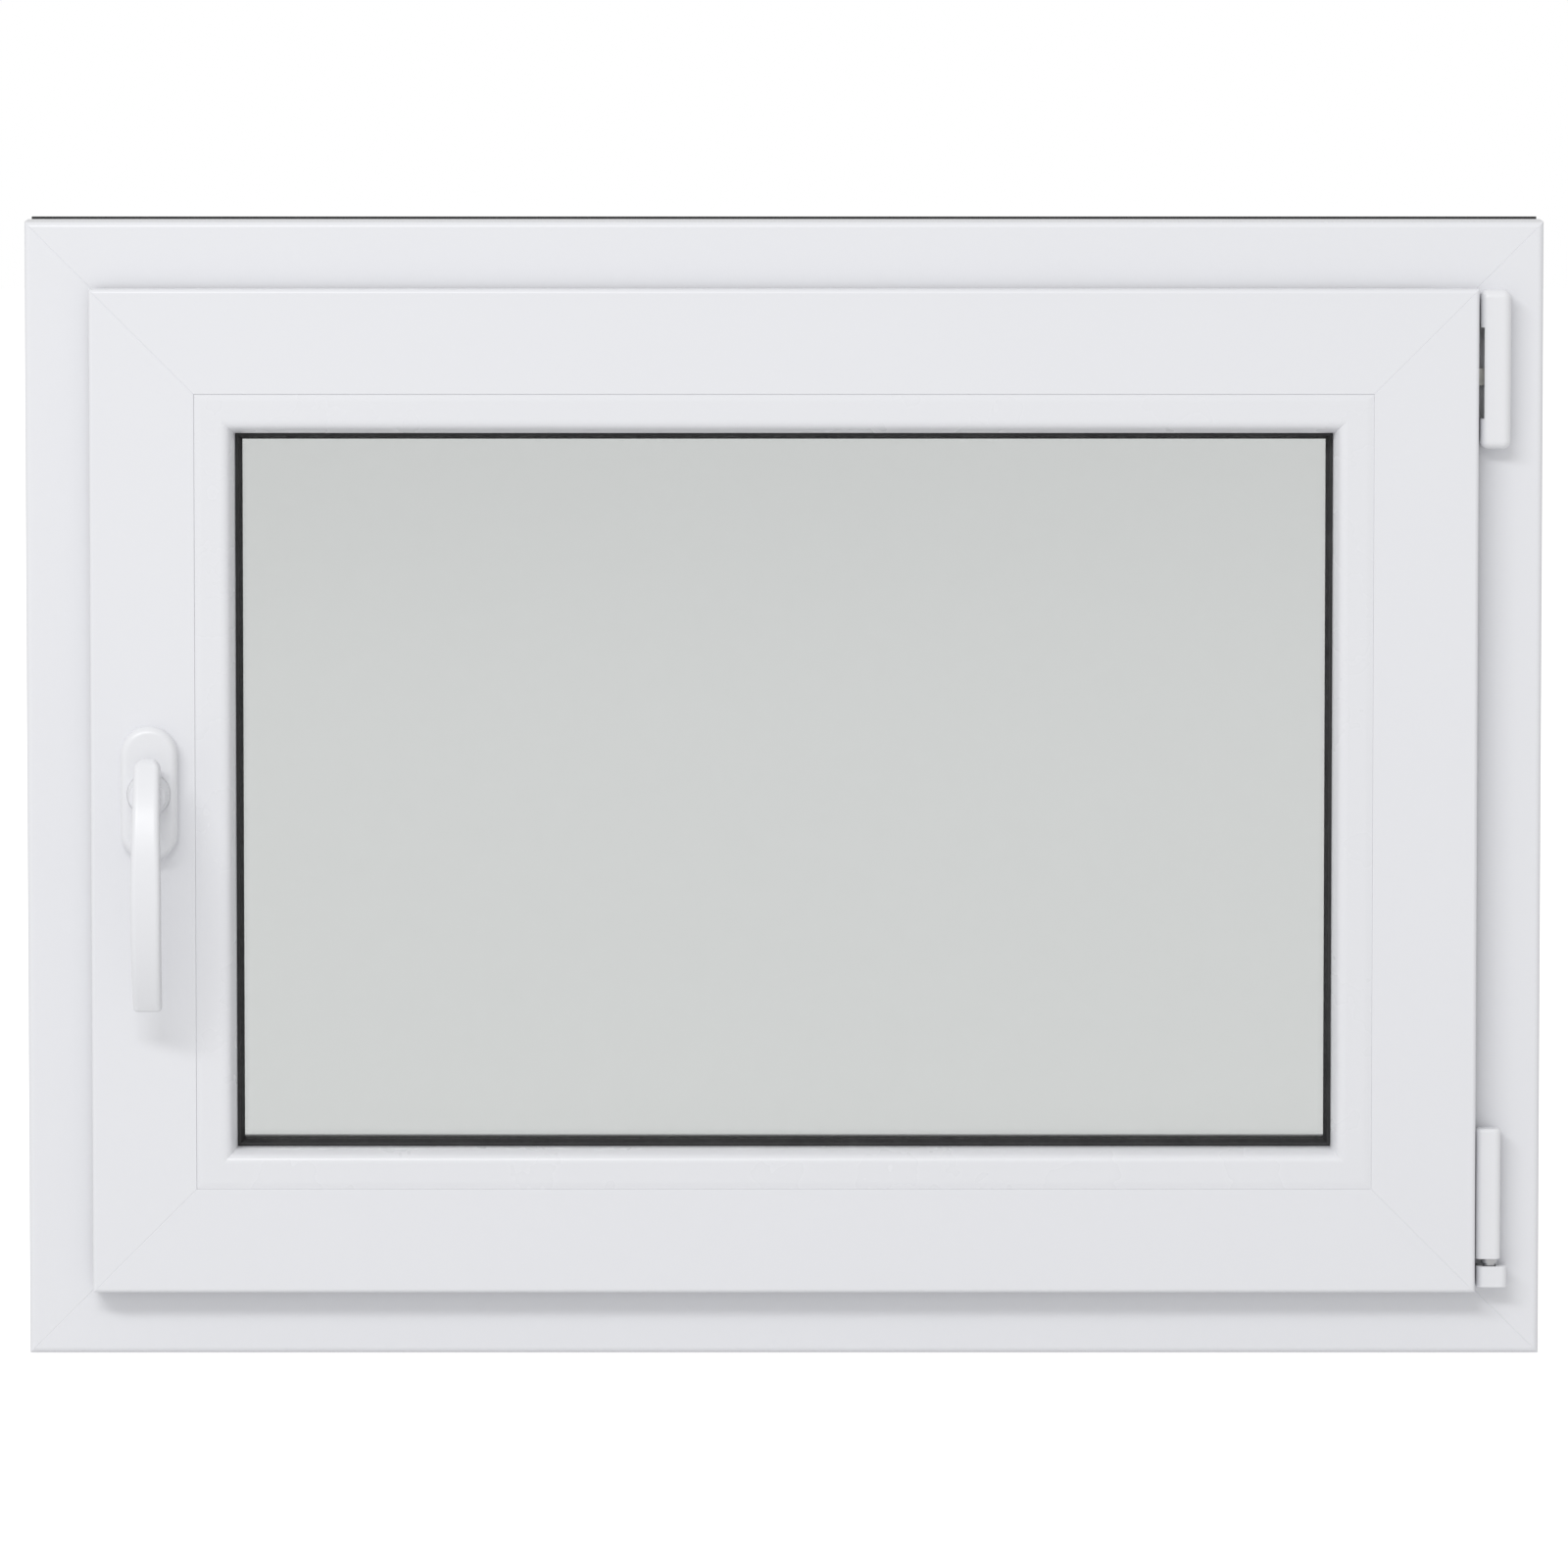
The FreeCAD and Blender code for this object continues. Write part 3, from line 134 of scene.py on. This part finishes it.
class Finish:
    """A Principled material built up from procedural layers in row-frame coordinates."""

    def __init__(self, name, colour, roughness, **settings):
        self.material = bpy.data.materials.new(name)
        self.material.use_nodes = True
        self.tree = self.material.node_tree
        self.shader = self.tree.nodes["Principled BSDF"]
        self.shader.inputs["Base Color"].default_value = (*colour, 1.0)
        self.shader.inputs["Roughness"].default_value = roughness
        for socket, value in settings.items():
            self.shader.inputs[socket.replace("_", " ")].default_value = value
        self.coords = self.tree.nodes.new("ShaderNodeTexCoord").outputs["Object"]
        self.colour = colour
        self.roughness = roughness
        self.normal = None

    def noise(self, scale, detail=COARSE_DETAIL, stretch=EVEN):
        mapping = self.tree.nodes.new("ShaderNodeMapping")
        mapping.inputs["Scale"].default_value = stretch
        self.tree.links.new(self.coords, mapping.inputs["Vector"])
        node = self.tree.nodes.new("ShaderNodeTexNoise")
        node.inputs["Scale"].default_value = scale
        node.inputs["Detail"].default_value = detail
        self.tree.links.new(mapping.outputs[0], node.inputs["Vector"])
        return node.outputs["Fac"]

    def spread(self, source, low, high):
        """Map the middle of a noise pattern to a range of values."""
        node = self.tree.nodes.new("ShaderNodeMapRange")
        node.inputs["From Min"].default_value, node.inputs["From Max"].default_value = NOISE_MIDDLE
        node.inputs["To Min"].default_value = low
        node.inputs["To Max"].default_value = high
        self.tree.links.new(source, node.inputs["Value"])
        return node.outputs["Result"]

    def mottle(self, scale, darker=0.0, other=None):
        """Slow drift of the colour towards another one, or towards a darker shade of itself."""
        other = other or tuple(c * (1 - darker) for c in self.colour)
        mix = self.tree.nodes.new("ShaderNodeMix")
        mix.data_type = "RGBA"
        mix.inputs["A"].default_value = (*self.colour, 1.0)
        mix.inputs["B"].default_value = (*other, 1.0)
        self.tree.links.new(self.spread(self.noise(scale), 0.0, 1.0), mix.inputs["Factor"])
        self.tree.links.new(mix.outputs["Result"], self.shader.inputs["Base Color"])
        return self

    def sheen_drift(self, scale, amount):
        """Slow drift of the roughness to either side of its own value."""
        source = self.spread(self.noise(scale), self.roughness - amount, self.roughness + amount)
        self.tree.links.new(source, self.shader.inputs["Roughness"])
        return self

    def bump(self, scale, height, detail=COARSE_DETAIL, stretch=EVEN):
        """A layer of relief; height is in metres."""
        node = self.tree.nodes.new("ShaderNodeBump")
        node.inputs["Strength"].default_value = 1.0
        node.inputs["Distance"].default_value = height
        self.tree.links.new(self.noise(scale, detail, stretch), node.inputs["Height"])
        if self.normal is not None:
            self.tree.links.new(self.normal, node.inputs["Normal"])
        self.normal = node.outputs["Normal"]
        self.tree.links.new(self.normal, self.shader.inputs["Normal"])
        return self


def plastic(name, colour, roughness=0.30):
    """Extruded or moulded white plastic: a slight waviness under a fine skin."""
    finish = Finish(name, colour, roughness, Specular_IOR_Level=0.5)
    finish.mottle(9.0, 0.004).sheen_drift(30.0, 0.02)
    return finish.bump(10.0, 0.00001, 0.0).bump(1400.0, 0.000001, 2.0)


def make_finishes():
    """One finish for each material slot in the record."""
    frame_profile = plastic("pvc_frame", FRAME_WHITE)
    sash_profile = plastic("pvc_sash", SASH_WHITE)
    bead_profile = plastic("pvc_bead", BEAD_WHITE, 0.28)
    cap = plastic("cap_plastic", CAP_WHITE, 0.34)
    handle_white = Finish("handle_lacquer", LACQUER_WHITE, 0.36, Coat_Weight=0.1, Coat_Roughness=0.3)
    handle_white.mottle(40.0, 0.006).sheen_drift(120.0, 0.03).bump(900.0, 0.000001, 1.0)
    hinge_white = Finish("hinge_lacquer", LACQUER_WHITE, 0.34, Coat_Weight=0.1)
    hinge_white.mottle(60.0, 0.012).sheen_drift(260.0, 0.06).bump(1100.0, 0.000006, 2.0)
    rosette = plastic("rosette_plastic", ROSETTE_WHITE, 0.3)
    rubber = Finish("epdm_rubber", RUBBER_BLACK, 0.55, Specular_IOR_Level=0.4)
    rubber.mottle(60.0, other=RUBBER_WORN).sheen_drift(300.0, 0.08)
    rubber.bump(2200.0, 0.00001, 2.0).bump(160.0, 0.00001, 1.0)
    glass = Finish("float_glass", GLASS_TINT, 0.0, Transmission_Weight=1.0, IOR=1.5)
    glass.bump(3.0, 0.00001, 0.0)
    spacer = Finish("warm_edge_bar", SPACER_BLACK, 0.45)
    spacer.mottle(120.0, 0.2).bump(700.0, 0.00003)
    sealant = Finish("sealant", SEALANT_BLACK, 0.7)
    sealant.mottle(80.0, 0.3).bump(500.0, 0.0001)
    packer = Finish("packer", PACKER_BLUE, 0.5)
    packer.mottle(70.0, 0.1).bump(800.0, 0.00003)
    zinc = Finish("zinc_plate", ZINC_GREY, 0.34, Metallic=1.0)
    zinc.mottle(35.0, other=ZINC_YELLOWED).sheen_drift(90.0, 0.08)
    zinc.bump(500.0, 0.00001).bump(60.0, 0.00002, 2.0)
    pin = Finish("ground_steel", STEEL_BRIGHT, 0.22, Metallic=1.0)
    pin.mottle(60.0, 0.06).sheen_drift(150.0, 0.06).bump(1500.0, 0.000006, 2.0, ALONG_THE_PIN)
    cast = Finish("zinc_casting", CASTING_GREY, 0.42, Metallic=1.0)
    cast.mottle(90.0, 0.12).sheen_drift(160.0, 0.08).bump(900.0, 0.00003)
    screw = Finish("screw_steel", SCREW_GREY, 0.3, Metallic=1.0)
    screw.mottle(200.0, 0.1).sheen_drift(300.0, 0.08).bump(1200.0, 0.00001)
    return {
        "frame_profile": frame_profile, "sash_profile": sash_profile, "bead_profile": bead_profile,
        "gasket_rubber": rubber, "glass": glass, "spacer": spacer, "sealant": sealant,
        "packer_plastic": packer, "drain_cap_plastic": cap, "hinge_cap_plastic": cap,
        "zinc_steel": zinc, "pin_steel": pin, "cast_zinc": cast, "screw_steel": screw,
        "hinge_lacquer": hinge_white, "handle_lacquer": handle_white, "handle_plastic": rosette,
    }


def paint(obj, finish):
    obj.data.materials.clear()
    obj.data.materials.append(finish.material)


def paint_nodes(finishes):
    for entry in frame["record"]["subparts"]:
        obj = frame["nodes"][entry["node"]]
        paint(obj, finishes[entry["material_slot"]])


# ---- stage ----------------------------------------------------------------------------------------
def make_floor():
    mesh = bpy.data.meshes.new("floor")
    body = bmesh.new()
    bmesh.ops.create_grid(body, x_segments=2, y_segments=2, size=FLOOR_HALF_WIDTH)
    body.to_mesh(mesh)
    body.free()
    floor = bpy.data.objects.new("floor", mesh)
    floor.location = (0, 0, cad_box[0].z - FLOOR_DROP)
    scene.collection.objects.link(floor)
    pale = Finish("studio_floor", FLOOR_GREY, 0.9, Specular_IOR_Level=0.1, Emission_Color=(1, 1, 1, 1))
    pale.mottle(3.0, 0.006)
    glow = pale.tree.nodes.new("ShaderNodeMapRange")
    glow.inputs["To Min"].default_value = FLOOR_GLOW
    glow.inputs["To Max"].default_value = FLOOR_GLOW_SEEN
    pale.tree.links.new(seen_directly(pale.tree), glow.inputs["Value"])
    pale.tree.links.new(glow.outputs["Result"], pale.shader.inputs["Emission Strength"])
    paint(floor, pale)


make_camera()
make_sky()
make_key()
make_floor()
scene.view_settings.view_transform = "Standard"
paint_nodes(make_finishes())
